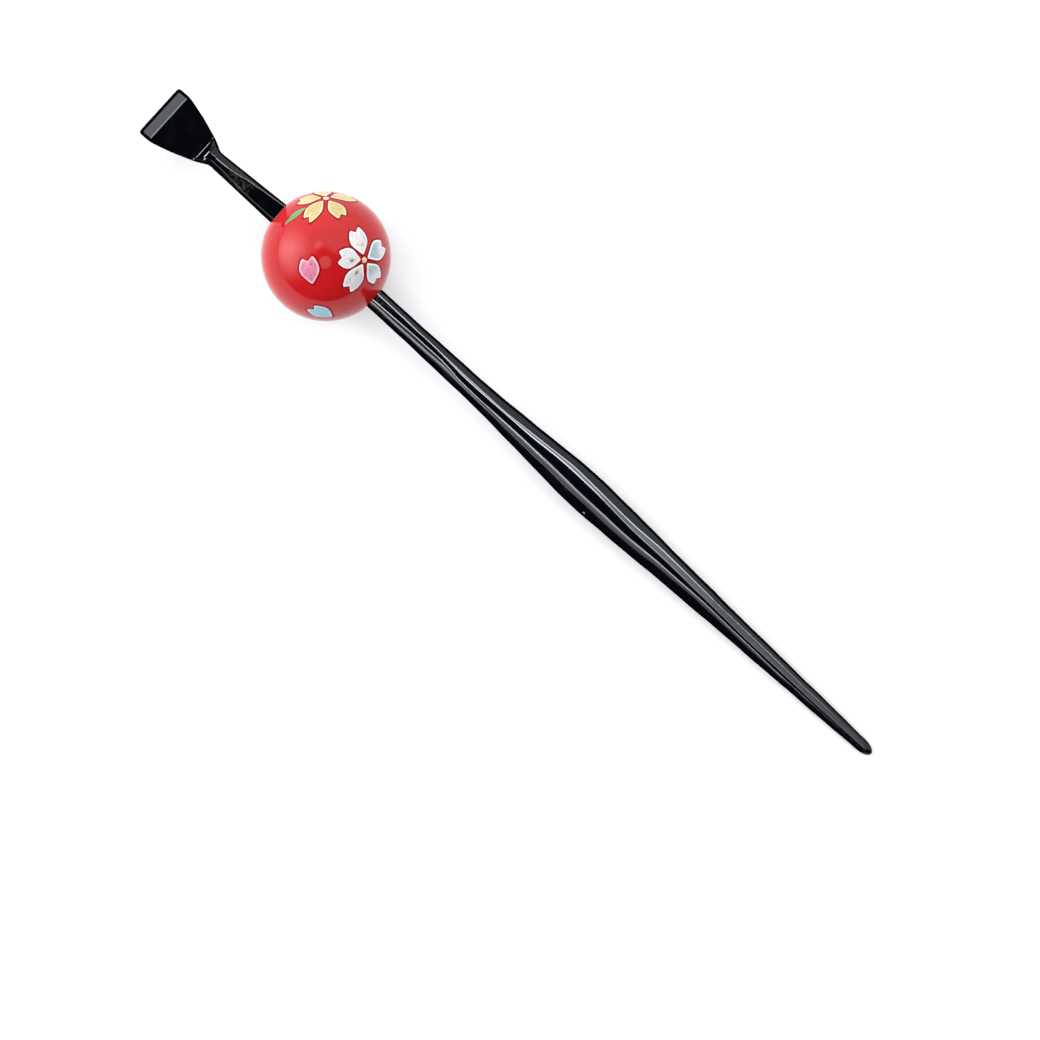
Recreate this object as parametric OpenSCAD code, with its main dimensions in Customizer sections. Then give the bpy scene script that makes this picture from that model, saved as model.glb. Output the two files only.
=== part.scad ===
// A hair stick: a flat flared head, a ball threaded on the stick, and a long leg with a swell.
// It lies as it would on a table, with the ball and the tip of the leg touching the table.
// Origin: the point of the table under the middle of the ball. X runs to the tip, Z is up.
// Millimetres and degrees.

/* [Ball] */
// Diameter of the ball
ball_d = 22; // [18:0.5:28]
// Width of the flat land round each mouth of the ball's bore
land_w = 0.2; // [0.1:0.05:0.4]
// How far the plugs sit behind the mouths of the bore
recess = 1.5; // [1:0.1:2.5]

/* [Neck] */
// Length of the neck, from the ball to the narrowest place
neck_len = 13.9; // [10:0.1:22]
// Width of the neck where it leaves the ball
neck_w = 4.05; // [3.4:0.05:4.8]
// Thickness of the neck where it leaves the ball
neck_t = 3.1; // [2.6:0.05:3.8]
// Width of the neck at its narrowest place, the waist
waist_w = 3; // [2.4:0.05:3.6]
// Thickness of the waist
waist_t = 2.5; // [2:0.05:3]
// Sideways lean of the head off the line of the leg, in degrees
lean = 1.5; // [0:0.1:2.5]
// Downward lean of the head, in degrees
droop = 1.5; // [0:0.1:2.5]

/* [Flared head] */
// Length of the flare, from the waist to the end
flare_len = 12.7; // [9:0.1:20]
// Width of the head at its end
head_w = 10.15; // [8:0.05:14]
// Thickness of the head at the ridge beside the waist
head_t = 3.3; // [2.8:0.05:4.2]
// Thickness of the head at its blunt end
end_t = 1.2; // [0.8:0.05:1.6]
// Length of the bevel at the end of the head
bevel_len = 2.1; // [1.2:0.05:3]
// Radius of the head's two corners
corner_r = 0.5; // [0.3:0.05:1]

/* [Leg] */
// Length of the leg, from the ball to the tip
leg_len = 115.5; // [90:0.5:150]
// Width of the leg where it leaves the ball
leg_w = 3.75; // [3.2:0.05:4.6]
// Thickness of the leg where it leaves the ball
leg_t = 3; // [2.6:0.05:3.6]
// Sideways shift of the leg where it leaves the ball, off the line from the ball to the tip
leg_shift = 0.3; // [0:0.01:0.4]
// Drop of the leg where it leaves the ball, below that line
leg_drop = 0.3; // [0:0.01:0.4]
// Greatest width of the leg, at the swell
swell_w = 6.9; // [5:0.05:9]
// Greatest thickness of the leg, at the swell
swell_t = 4.1; // [3.4:0.05:5.4]
// Width of the leg where the tip begins to round
tip_w = 2.4; // [1.8:0.05:3]
// Thickness of the leg where the tip begins to round
tip_t = 1.9; // [1.6:0.05:2.6]
// Length of the rounded tip
tip_len = 2.7; // [1.5:0.1:4]

/* [Facets] */
// Slope of the narrow facets beside the top facet, in degrees
ridge_slope = 20; // [10:1:25]
// How far the narrow facets reach from the top facet towards the side
ridge_share = 0.4; // [0.25:0.01:0.5]
// How much of the sloping side the rounding of the edge takes
edge_share = 0.07; // [0.03:0.01:0.15]

/* [Joint inside the ball] */
// Diameter of the head's round tenon
tenon_d = 2; // [1.4:0.05:2.2]
// Length of the tenon
tenon_len = 7; // [4:0.1:8]
// Gap between the stick and the wall of the bore at its tightest place
bore_gap = 0.12; // [0.08:0.01:0.2]
// Gap round the plugs and the tenon
fit_gap = 0.05; // [0.03:0.01:0.08]
// Gap between the ends of two pieces that meet
end_gap = 0.2; // [0.1:0.05:0.3]

/* [Hidden] */
$fn = 96;

// Rings of the leg between the ball and the rounded tip, and on the rounded tip
leg_steps = 32;
tip_steps = 5;
// Rings round the corners of the head
corner_steps = 4;
// How far past the start of a plug the flared pieces reach into it
root_len = 0.6;
// Where the head begins to lean, from the middle of the ball
lean_start = 6.7;

// The leg's sections. place: share of the way from the ball to the rounded tip. swell: share of
// what the swell adds to the straight taper. flat: half width of the top facet, as a share of the
// half width. side: half height of the upright edge, as a share of the half thickness.
LEG_PLACE = 0;
LEG_SWELL = 1;
LEG_FLAT = 2;
LEG_SIDE = 3;
leg_table = [
    // place, swell, flat, side
    [0.00, 0.00, 0.28, 0.26],
    [0.10, 0.09, 0.27, 0.24],
    [0.18, 0.18, 0.22, 0.22],
    [0.25, 0.33, 0.19, 0.20],
    [0.315, 0.59, 0.22, 0.18],
    [0.375, 0.84, 0.26, 0.17],
    [0.44, 1.00, 0.28, 0.16],
    [0.515, 0.87, 0.22, 0.17],
    [0.595, 0.68, 0.13, 0.19],
    [0.715, 0.45, 0.09, 0.22],
    [0.85, 0.24, 0.08, 0.24],
    [1.00, 0.00, 0.08, 0.26]
];
SWELL_ROW = 6;

// The flare's sections. place: share of the way from the waist to the start of the bevel. width:
// share of the widening from the waist to the end. rise: share of the thickening from the waist to
// the ridge. flat and side: as for the leg.
FLARE_PLACE = 0;
FLARE_WIDTH = 1;
FLARE_RISE = 2;
FLARE_FLAT = 3;
FLARE_SIDE = 4;
flare_table = [
    // place, width, rise, flat, side
    [0.00, 0.000, 0.00, 0.30, 0.30],
    [0.05, 0.030, 0.02, 0.31, 0.34],
    [0.10, 0.120, 0.10, 0.38, 0.42],
    [0.16, 0.210, 0.28, 0.56, 0.55],
    [0.21, 0.280, 0.60, 0.76, 0.68],
    [0.245, 0.320, 1.00, 0.93, 0.80],
    [0.34, 0.425, 0.99, 0.94, 0.82],
    [0.47, 0.565, 0.97, 0.95, 0.84],
    [0.60, 0.700, 0.95, 0.95, 0.84],
    [0.75, 0.830, 0.93, 0.95, 0.84],
    [0.90, 0.950, 0.91, 0.95, 0.84],
    [1.00, 1.000, 0.90, 0.95, 0.84]
];

// Facets of the neck where it leaves the ball
neck_flat = 0.42;
neck_side = 0.26;
neck_steps = 5;

// The bore clears the neck and the leg, each pushed aside as far as it is at the ball's surface
ball_r = ball_d / 2;
neck_reach = reach(moved(neck_ring(0, 0), head_offset(ball_r)));
leg_reach = reach(moved(leg_ring(0, 0), [0, leg_shift, -leg_drop]));
bore_d = 2 * (max(neck_reach, leg_reach) + bore_gap);
plug_d = bore_d - 2 * fit_gap;
land_d = bore_d + 2 * land_w;
socket_d = tenon_d + 2 * fit_gap;
mouth_x = sqrt(pow(ball_r, 2) - pow(land_d / 2, 2));
plug_x = mouth_x - recess;

// Places along the stick, from the middle of the ball: the head lies on the minus side
waist_x = mouth_x + neck_len;
flare_end_x = waist_x + flare_len;
bevel_x = flare_end_x - bevel_len;
tip_x = mouth_x + leg_len;
taper_end_x = tip_x - tip_len;

// The tilt at which the ball and the rounded tip both touch the table
tip_r = tip_t / 2;
tilt_a = pow(taper_end_x, 2) - pow(tip_len, 2) + pow(tip_r, 2);
tilt_c = pow(ball_r, 2) - pow(tip_r, 2);
tilt = asin((ball_r * taper_end_x - sqrt(pow(ball_r * taper_end_x, 2) - tilt_a * tilt_c)) / tilt_a);

function mix(a, b, share) = a + (b - a) * share;

// A smooth curve through one column of a table, at a place between its first and last rows
function row_of(table, place, i = 0) =
    i >= len(table) - 2 || place <= table[i + 1][0] ? i : row_of(table, place, i + 1);
function slope_of(table, column, i) = let(
        low = max(i - 1, 0),
        high = min(i + 1, len(table) - 1)
    ) (table[high][column] - table[low][column]) / (table[high][0] - table[low][0]);
function smooth(table, column, place) = let(
        i = row_of(table, place),
        span = table[i + 1][0] - table[i][0],
        t = (place - table[i][0]) / span
    )
    (1 + 2 * t) * pow(1 - t, 2) * table[i][column]
    + t * pow(1 - t, 2) * span * slope_of(table, column, i)
    + pow(t, 2) * (3 - 2 * t) * table[i + 1][column]
    + pow(t, 2) * (t - 1) * span * slope_of(table, column, i + 1);

// One ring of points round the stick: a flat facet above and below, a narrow facet on each side of
// it, a sloping side and an upright edge
function ring(x, half_w, half_t, flat, side) = let(
        flat_y = half_w * flat,
        ridge_y = mix(flat_y, half_w, ridge_share),
        ridge_z = half_t - (ridge_y - flat_y) * tan(ridge_slope),
        edge_y = mix(half_w, flat_y, edge_share),
        quarter = [[flat_y, half_t], [ridge_y, ridge_z], [edge_y, half_t * side], [half_w, 0]]
    ) [
        for (p = quarter) [x, p[0], p[1]],
        for (i = [2:-1:0]) [x, quarter[i][0], -quarter[i][1]],
        for (i = [0:3]) [x, -quarter[i][0], -quarter[i][1]],
        for (i = [2:-1:0]) [x, -quarter[i][0], quarter[i][1]]
    ];

function moved(points, offset) = [for (p = points) p + offset];

// How far the points of a ring lie from the X axis
function reach(points) = max([for (p = points) norm([p[1], p[2]])]);

// A closed skin over rings whose x grows from first to last, with a point at each end
module skin(rings, start, end) {
    count = len(rings[0]);
    last = (len(rings) - 1) * count;
    points = concat([for (r = rings) each r], [start, end]);
    first_fan = [for (i = [0:count - 1]) [len(points) - 2, (i + 1) % count, i]];
    last_fan = [for (i = [0:count - 1]) [len(points) - 1, last + i, last + (i + 1) % count]];
    sides = [
        for (r = [0:len(rings) - 2], i = [0:count - 1])
            let(a = r * count + i, b = r * count + (i + 1) % count)
                each [[a, b, b + count], [a, b + count, a + count]]
    ];
    polyhedron(points, concat(first_fan, sides, last_fan));
}

// The half width and half thickness of the leg at a share of the way to its rounded tip
function leg_half(size_ball, size_swell, size_tip, place) = let(
        taper = mix(size_ball, size_tip, place),
        taper_at_swell = mix(size_ball, size_tip, leg_table[SWELL_ROW][LEG_PLACE])
    ) (taper + (size_swell - taper_at_swell) * smooth(leg_table, LEG_SWELL, place)) / 2;

function leg_ring(place, x, shrink = 1) = ring(
    x,
    leg_half(leg_w, swell_w, tip_w, place) * shrink,
    leg_half(leg_t, swell_t, tip_t, place) * shrink,
    smooth(leg_table, LEG_FLAT, place),
    smooth(leg_table, LEG_SIDE, place)
);

function leg_offset(x) =
    [0, leg_shift, -leg_drop] * max(taper_end_x - x, 0) / (taper_end_x - mouth_x);

module leg_skin() {
    root_x = plug_x - root_len;
    rings = [
        leg_ring(0, root_x),
        for (i = [0:leg_steps])
            leg_ring(i / leg_steps, mix(mouth_x, taper_end_x, i / leg_steps)),
        for (i = [1:tip_steps - 1])
            let(angle = 90 * i / tip_steps)
                leg_ring(1, taper_end_x + tip_len * sin(angle), cos(angle))
    ];
    placed = [for (r = rings) moved(r, leg_offset(r[0][0]))];
    skin(placed, [root_x, 0, 0], [tip_x, 0, 0]);
}

// The head is laid out with x growing towards its end, then mirrored to the minus side
function head_offset(x) = [0, -tan(lean), -tan(droop)] * (x - lean_start);

function neck_ring(place, x) = ring(
    x,
    mix(neck_w, waist_w, place) / 2,
    mix(neck_t, waist_t, place) / 2,
    mix(neck_flat, flare_table[0][FLARE_FLAT], place),
    mix(neck_side, flare_table[0][FLARE_SIDE], place)
);

function flare_ring(row) = ring(
    mix(waist_x, bevel_x, row[FLARE_PLACE]),
    mix(waist_w, head_w, row[FLARE_WIDTH]) / 2,
    mix(waist_t, head_t, row[FLARE_RISE]) / 2,
    row[FLARE_FLAT],
    row[FLARE_SIDE]
);

function corner_ring(angle) = let(
        row = flare_table[len(flare_table) - 1],
        x = flare_end_x - corner_r * (1 - sin(angle)),
        bevel_t = mix(mix(waist_t, head_t, row[FLARE_RISE]), end_t, (x - bevel_x) / bevel_len)
    ) ring(
        x,
        head_w / 2 - corner_r * (1 - cos(angle)),
        bevel_t / 2,
        row[FLARE_FLAT],
        row[FLARE_SIDE]
    );

module head_skin() {
    root_x = plug_x - root_len;
    rings = [
        neck_ring(0, root_x),
        for (i = [0:neck_steps - 1])
            neck_ring(i / neck_steps, mix(mouth_x, waist_x, i / neck_steps)),
        for (row = flare_table) flare_ring(row),
        for (i = [0:corner_steps]) corner_ring(90 * i / corner_steps)
    ];
    placed = [for (r = rings) moved(r, head_offset(r[0][0]))];
    skin(placed, [root_x, 0, 0], [flare_end_x, 0, 0] + head_offset(flare_end_x));
}

// A round bar along X
module bar(d, from_x, to_x) {
    translate([from_x, 0, 0]) rotate([0, 90, 0]) cylinder(d = d, h = to_x - from_x);
}

// Puts a piece that is built round the ball's middle where it lies on the table
module laid() {
    translate([0, 0, ball_r]) rotate([0, tilt, 0]) children();
}

module head() {
    color([0.03, 0.03, 0.04]) laid() {
        mirror([1, 0, 0]) head_skin();
        bar(plug_d, -plug_x, 0);
        bar(tenon_d, -end_gap, tenon_len);
    }
}

module ball() {
    color([0.74, 0.06, 0.09]) laid() difference() {
        intersection() {
            sphere(d = ball_d);
            bar(2 * ball_d, -mouth_x, mouth_x);
        }
        bar(bore_d, -ball_d, ball_d);
    }
}

module leg() {
    color([0.03, 0.03, 0.04]) laid() difference() {
        union() {
            leg_skin();
            bar(plug_d, end_gap, plug_x);
        }
        bar(socket_d, 0, tenon_len + end_gap);
    }
}

head();
ball();
leg();
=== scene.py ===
import math
from collections import namedtuple

import bpy
from mathutils import Matrix, Vector


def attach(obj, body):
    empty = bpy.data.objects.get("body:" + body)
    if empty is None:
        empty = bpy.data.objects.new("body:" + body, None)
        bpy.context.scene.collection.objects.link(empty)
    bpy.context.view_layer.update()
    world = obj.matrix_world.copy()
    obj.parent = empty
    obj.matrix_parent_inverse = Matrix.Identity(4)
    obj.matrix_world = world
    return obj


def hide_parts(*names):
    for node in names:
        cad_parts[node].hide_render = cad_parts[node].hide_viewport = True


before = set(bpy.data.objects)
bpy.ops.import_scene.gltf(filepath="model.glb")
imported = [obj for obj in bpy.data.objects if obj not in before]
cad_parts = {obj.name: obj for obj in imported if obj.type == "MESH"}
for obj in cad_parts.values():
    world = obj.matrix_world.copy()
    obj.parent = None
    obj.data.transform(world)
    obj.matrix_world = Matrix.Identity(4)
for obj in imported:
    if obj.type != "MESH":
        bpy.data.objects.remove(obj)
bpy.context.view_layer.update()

MM = 0.001
ROOT = "root"

# The ball and its bore
BALL_D = 22 * MM
BALL_R = BALL_D / 2
BORE_R = 2.32 * MM
LAND_W = 0.2 * MM
RECESS = 1.5 * MM
MOUTH_X = math.sqrt(BALL_R ** 2 - (BORE_R + LAND_W) ** 2)
RIM_R = 0.12 * MM

# The joint inside the ball
PLUG_R = BORE_R - 0.05 * MM
PLUG_X = MOUTH_X - RECESS
TENON_R = 1 * MM
TENON_LEN = 7 * MM
SOCKET_R = 1.05 * MM
END_GAP = 0.2 * MM

# The neck and the flared head
NECK_LEN = 13.9 * MM
NECK_W = 4.05 * MM
NECK_T = 3.1 * MM
WAIST_W = 3 * MM
WAIST_T = 2.5 * MM
LEAN = math.radians(1.5)
DROOP = math.radians(1.5)
LEAN_START = 6.7 * MM
FLARE_LEN = 12.7 * MM
HEAD_W = 10.15 * MM
HEAD_T = 3.3 * MM
END_T = 1.2 * MM
BEVEL_LEN = 2.1 * MM
CORNER_R = 0.5 * MM
WAIST_X = MOUTH_X + NECK_LEN
FLARE_END_X = WAIST_X + FLARE_LEN
BEVEL_X = FLARE_END_X - BEVEL_LEN

# The leg
LEG_LEN = 115.5 * MM
LEG_W = 3.75 * MM
LEG_T = 3 * MM
LEG_SHIFT = 0.3 * MM
LEG_DROP = 0.3 * MM
SWELL_W = 6.9 * MM
SWELL_T = 4.1 * MM
TIP_W = 2.4 * MM
TIP_T = 1.9 * MM
TIP_LEN = 2.7 * MM
TIP_X = MOUTH_X + LEG_LEN
TAPER_END_X = TIP_X - TIP_LEN

# Facets: slopes in degrees of the narrow facets, of the same facets on the neck, and of the sides
# below them
RIDGE_SLOPE = 20
NECK_SLOPE = 40
SIDE_SLOPE = 40

# The upright edge: how wide it looks from above, the share of the half width that it takes at most
# and the share by which it stays off the ridge, and its least height as a share of the half thickness
EDGE_IN = 0.45 * MM
EDGE_IN_MOST = 0.2
EDGE_GAP = 0.01
EDGE_LOWEST = 0.12

# How softly the lacquer rounds the corners between the facets, how much of the shorter line beside
# it a rounding may take, and how much of the top facet
RIDGE_R = 0.28 * MM
FINE_R = 0.10 * MM
SOFT_R = 0.8 * MM
TOP_R = 0.42 * MM
EDGE_R = 0.10 * MM
CORNER_SHARE = 0.42
TOP_SHARE = 0.25
ARC_STEPS = 4

# A small chip in the lacquer on the near side of the swell: its place along and across the stick
# and above its axis, and its half sizes
CHIP = Vector((61.6, -2.75, 0.9)) * MM
CHIP_SIZE = Vector((0.27, 0.16, 0.6)) * MM

# The tilt at which the ball and the rounded tip both touch the table
TIP_R = TIP_T / 2
TILT_A = TAPER_END_X ** 2 - TIP_LEN ** 2 + TIP_R ** 2
TILT_B = BALL_R * TAPER_END_X
TILT_C = BALL_R ** 2 - TIP_R ** 2
TILT = math.asin((TILT_B - math.sqrt(TILT_B ** 2 - TILT_A * TILT_C)) / TILT_A)
LAID = Matrix.Translation((0, 0, BALL_R)) @ Matrix.Rotation(TILT, 4, "Y")
CHIP_AT = LAID @ CHIP

# The camera looks straight down, turned so that the leg runs to the lower right of the picture
CAMERA_AT = Vector((0.05425, -0.0109, 0.7))
CAMERA_TURN = math.radians(42.31)
CAMERA_LENS = 141.1
SENSOR = 36
RIGHT = Vector((math.cos(CAMERA_TURN), math.sin(CAMERA_TURN), 0))
UP = Vector((-math.sin(CAMERA_TURN), math.cos(CAMERA_TURN), 0))
OVERHEAD = Vector((0, 0, 1))

# Sections of the leg. place: share of the way from the ball to the rounded tip. swell: share of
# what the swell adds to the straight taper. top and ridge: how far the top facet and the narrow
# facet beside it reach, as shares of the half width, on the +Y side (far) and on the -Y side
# (near). slope: of the narrow facet on the near side, in degrees.
LegRow = namedtuple("LegRow", "place swell top_far ridge_far top_near ridge_near slope")
LEG = [
    LegRow(0.00, 0.00, 0.40, 0.50, 0.22, 0.50, 28),
    LegRow(0.10, 0.09, 0.37, 0.46, 0.08, 0.44, 28),
    LegRow(0.14, 0.13, 0.30, 0.39, 0.06, 0.38, 28),
    LegRow(0.18, 0.18, 0.20, 0.35, 0.26, 0.43, 24),
    LegRow(0.25, 0.33, 0.20, 0.335, 0.26, 0.47, 20),
    LegRow(0.315, 0.59, 0.24, 0.44, 0.22, 0.51, 20),
    LegRow(0.375, 0.84, 0.34, 0.53, 0.21, 0.485, 20),
    LegRow(0.44, 1.00, 0.325, 0.505, 0.235, 0.49, 20),
    LegRow(0.515, 0.87, 0.19, 0.46, 0.285, 0.55, 20),
    LegRow(0.595, 0.68, 0.18, 0.56, 0.18, 0.40, 20),
    LegRow(0.675, 0.52, 0.12, 0.52, 0.13, 0.33, 20),
    LegRow(0.755, 0.38, 0.00, 0.49, 0.25, 0.375, 20),
    LegRow(0.85, 0.24, -0.09, 0.46, 0.35, 0.475, 20),
    LegRow(1.00, 0.00, -0.16, 0.38, 0.34, 0.46, 20),
]
SWELL_PLACE = 0.44

# Sections of the neck. place: share of the way from the ball to the waist. The rest as above.
NeckRow = namedtuple("NeckRow", "place top_far ridge_far top_near ridge_near")
NECK = [
    NeckRow(0.00, 0.78, 0.83, 0.66, 0.70),
    NeckRow(0.24, 0.69, 0.76, 0.66, 0.70),
    NeckRow(0.38, 0.63, 0.71, 0.65, 0.69),
    NeckRow(0.52, 0.54, 0.70, 0.64, 0.68),
    NeckRow(0.67, 0.32, 0.66, 0.57, 0.61),
    NeckRow(0.81, 0.19, 0.62, 0.46, 0.51),
    NeckRow(1.00, 0.18, 0.62, 0.41, 0.47),
]

# Sections of the flare. place: share of the way from the waist to the start of the bevel. width:
# share of the widening from the waist to the end. rise: share of the thickening from the waist to
# the ridge that closes off the hollow behind the flat face. slope: of both narrow facets.
FlareRow = namedtuple("FlareRow", "place width rise top_far ridge_far top_near ridge_near slope")
FLARE = [
    FlareRow(0.00, 0.000, 0.00, 0.18, 0.62, 0.41, 0.47, 40),
    FlareRow(0.05, 0.030, 0.00, 0.20, 0.63, 0.42, 0.52, 38),
    FlareRow(0.10, 0.120, 0.06, 0.12, 0.66, 0.41, 0.62, 32),
    FlareRow(0.16, 0.210, 0.22, 0.12, 0.72, 0.42, 0.74, 26),
    FlareRow(0.21, 0.280, 0.56, 0.60, 0.84, 0.66, 0.84, 22),
    FlareRow(0.245, 0.320, 1.00, 0.74, 0.90, 0.76, 0.90, 22),
    FlareRow(0.34, 0.425, 0.99, 0.90, 0.955, 0.90, 0.955, 20),
    FlareRow(0.60, 0.700, 0.95, 0.935, 0.965, 0.935, 0.965, 20),
    FlareRow(0.90, 0.950, 0.91, 0.905, 0.94, 0.905, 0.94, 20),
    FlareRow(1.00, 1.000, 0.90, 0.905, 0.94, 0.905, 0.94, 20),
]


def mix(a, b, share):
    return a + (b - a) * share


def clamp(value, low=0.0, high=1.0):
    return max(low, min(high, value))


def step(low, high, value):
    """Rises smoothly from 0 at low to 1 at high."""
    t = clamp((value - low) / (high - low))
    return t * t * (3 - 2 * t)


def smooth(rows, name, place):
    """A smooth curve through one named column, at a place between the first and last rows."""
    i = 0
    while i < len(rows) - 2 and place > rows[i + 1].place:
        i += 1

    def value(k):
        return getattr(rows[k], name)

    def slope(k):
        low, high = max(k - 1, 0), min(k + 1, len(rows) - 1)
        return (value(high) - value(low)) / (rows[high].place - rows[low].place)

    span = rows[i + 1].place - rows[i].place
    t = (place - rows[i].place) / span
    return (
        (1 + 2 * t) * (1 - t) ** 2 * value(i)
        + t * (1 - t) ** 2 * span * slope(i)
        + t ** 2 * (3 - 2 * t) * value(i + 1)
        + t ** 2 * (t - 1) * span * slope(i + 1)
    )


def eased(rows, name, place, reach):
    """Straight lines through one named column, with each corner eased over a short reach."""
    taps = 5
    total = 0
    for k in range(taps):
        at = clamp(place + reach * (2 * k / (taps - 1) - 1), rows[0].place, rows[-1].place)
        i = 0
        while i < len(rows) - 2 and at > rows[i + 1].place:
            i += 1
        low, high = rows[i], rows[i + 1]
        share = (at - low.place) / (high.place - low.place)
        total += mix(getattr(low, name), getattr(high, name), share)
    return total / taps


def bent(start, corner, end, t):
    """A point on the curve that leaves start and reaches end in the directions of the corner."""
    return start * (1 - t) ** 2 + corner * 2 * t * (1 - t) + end * t ** 2


def wave(x, length, phase):
    """The slight unevenness of carving by hand, between -1 and 1."""
    turn = 2 * math.pi * x / length
    return 0.6 * math.sin(turn + phase) + 0.4 * math.sin(2.3 * turn + 2.1 * phase)


# Sections of the stick. half_w and half_t: half the width and half the thickness. The rest as in
# the tables above, with a slope for each side.

Section = namedtuple(
    "Section", "half_w half_t top_far ridge_far top_near ridge_near slope_far slope_near")

# Which corners of an outline belong to its upright edges, and which to the whole of its sides
UPRIGHT = ({13, 0, 1}, {6, 7, 8})
SIDES = ({11, 12, 13, 0, 1, 2, 3}, {4, 5, 6, 7, 8, 9, 10})


def rounded(corners):
    """Rounds each corner (y, z, radius) of a closed outline: (y, z, edge) points, where edge is 0
    where a facet starts and largest in the middle of a corner, up to 1 in a sharp one."""
    points = []
    count = len(corners)
    for i, (y, z, radius) in enumerate(corners):
        here = Vector((y, z))
        before = Vector(corners[i - 1][:2]) - here
        after = Vector(corners[(i + 1) % count][:2]) - here
        start = here + before.normalized() * min(radius, CORNER_SHARE * before.length)
        end = here + after.normalized() * min(radius, CORNER_SHARE * after.length)
        for k in range(ARC_STEPS + 1):
            t = k / ARC_STEPS
            p = bent(start, here, end, t)
            points.append((p.x, p.y, 4 * t * (1 - t) * min(1, RIDGE_R / radius)))
    return points


def outline(s, far_ridge_r=RIDGE_R, near_ridge_r=RIDGE_R, far_top_r=RIDGE_R, near_top_r=RIDGE_R):
    """The rounded outline of a section, from the +Y edge over the top and back underneath."""
    inner = 1 - min(EDGE_IN / s.half_w, EDGE_IN_MOST)
    side_drop = math.tan(math.radians(SIDE_SLOPE))
    top_limit = TOP_SHARE * (s.top_far + s.top_near) * s.half_w

    def half(top, ridge, slope, ridge_r, top_r):
        """(share of the half width, height, radius) from the top facet's corner to the edge."""
        edge = max(inner, ridge + EDGE_GAP)
        ridge_z = s.half_t - math.tan(math.radians(slope)) * (ridge - top) * s.half_w
        edge_z = max(s.half_t * EDGE_LOWEST, ridge_z - side_drop * (edge - ridge) * s.half_w)
        corner_r = min(top_r, top_limit)
        return [(top, s.half_t, corner_r), (ridge, ridge_z, ridge_r), (edge, edge_z, EDGE_R)]

    far = half(s.top_far, s.ridge_far, s.slope_far, far_ridge_r, far_top_r)
    near = half(s.top_near, s.ridge_near, s.slope_near, near_ridge_r, near_top_r)
    upper = list(reversed(far)) + [(-y, z, r) for y, z, r in near]
    corners = [(s.half_w, 0, EDGE_R)]
    corners += [(y * s.half_w, z, r) for y, z, r in upper]
    corners += [(-s.half_w, 0, EDGE_R)]
    corners += [(y * s.half_w, -z, r) for y, z, r in reversed(upper)]
    return rounded(corners)


def placed(points, x, offset):
    """An outline as a ring of (point, edge) in the stick's own frame."""
    return [(Vector((x, y, z)) + offset, edge) for y, z, edge in points]


def circle_like(ring, x, radius):
    """A round ring whose points face those of a ring round the X axis."""
    middle = Vector((x, 0, 0))
    return [(middle + Vector((0, p.y, p.z)).normalized() * radius, 0) for p, _ in ring]


def wandering(rows, place, x, uneven, waves):
    """How far the four facets of a section reach, each with a slight wave (length, phase)."""
    names = ("top_far", "ridge_far", "top_near", "ridge_near")
    return [
        smooth(rows, name, place) + uneven * wave(x, length, phase)
        for name, (length, phase) in zip(names, waves)
    ]


# Meshes

def new_mesh(name, points, faces):
    mesh = bpy.data.meshes.new(name)
    mesh.from_pydata(points, [], faces)
    mesh.validate()
    return mesh


def put_in_scene(name, data):
    made = bpy.data.objects.new(name, data)
    bpy.context.scene.collection.objects.link(made)
    return made


def add_piece(name, mesh, slot, *materials):
    """A piece of the hair stick: it rides on the one body and takes the given materials. The slot is not
    used.
    """
    piece = put_in_scene(name, mesh)
    for material in materials:
        mesh.materials.append(material)
    mesh.polygons.foreach_set("use_smooth", [True] * len(mesh.polygons))
    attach(piece, ROOT)
    return piece


def add_values(mesh, name, values):
    mesh.attributes.new(name, "FLOAT", "POINT").data.foreach_set("value", values)


def loft(name, rings, start, end, flip=False, sides_from=None, all_from=None):
    """A closed mesh over rings of (point, edge) with a point at each end, flipped if it was
    mirrored. The upright edges take the second material, and so do the whole sides and then all
    faces from two given rings on."""
    count = len(rings[0])
    points = [LAID @ p for ring in rings for p, _ in ring]
    edges = [edge for ring in rings for _, edge in ring]
    faces, outline_shade = [], []
    for r in range(len(rings) - 1):
        for i in range(count):
            j = (i + 1) % count
            a, b = r * count + i, r * count + j
            faces.append((a, b, b + count, a + count))
            corners = {i // (ARC_STEPS + 1), j // (ARC_STEPS + 1)}
            groups = SIDES if sides_from and r >= sides_from else UPRIGHT
            edgewise = any(corners <= group for group in groups)
            outline_shade.append(1 if edgewise or (all_from and r >= all_from) else 0)
    first, last = len(points), len(points) + 1
    points += [LAID @ start, LAID @ end]
    edges += [0, 0]
    final = (len(rings) - 1) * count
    for i in range(count):
        j = (i + 1) % count
        faces.append((first, j, i))
        faces.append((last, final + i, final + j))
        outline_shade += [0, 1 if all_from else 0]
    if flip:
        faces = [tuple(reversed(f)) for f in faces]
    mesh = new_mesh(name, points, faces)
    mesh.polygons.foreach_set("material_index", outline_shade)
    add_values(mesh, "edge", edges)
    return mesh


def flatten_facets(piece):
    """Lets the wide flat faces set the shading, so that only rounded corners shade as round."""
    weighted = piece.modifiers.new("flat_facets", "WEIGHTED_NORMAL")
    weighted.mode = "FACE_AREA"
    weighted.weight = 80
    weighted.keep_sharp = True


def leg_half(at_ball, at_swell, at_tip, place):
    taper = mix(at_ball, at_tip, place)
    added = at_swell - mix(at_ball, at_tip, SWELL_PLACE)
    return (taper + added * smooth(LEG, "swell", place)) / 2


def leg_section(place, shrink=1):
    x = place * LEG_LEN
    wavy = 0.04 * MM * wave(x, 15 * MM, 0.8)
    waves = ((31 * MM, 0.4), (23 * MM, 1.9), (27 * MM, 3.1), (19 * MM, 4.6))
    return Section(
        (leg_half(LEG_W, SWELL_W, TIP_W, place) + wavy) * shrink,
        leg_half(LEG_T, SWELL_T, TIP_T, place) * shrink,
        *wandering(LEG, place, x, 0.018, waves),
        RIDGE_SLOPE,
        smooth(LEG, "slope", place),
    )


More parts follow.
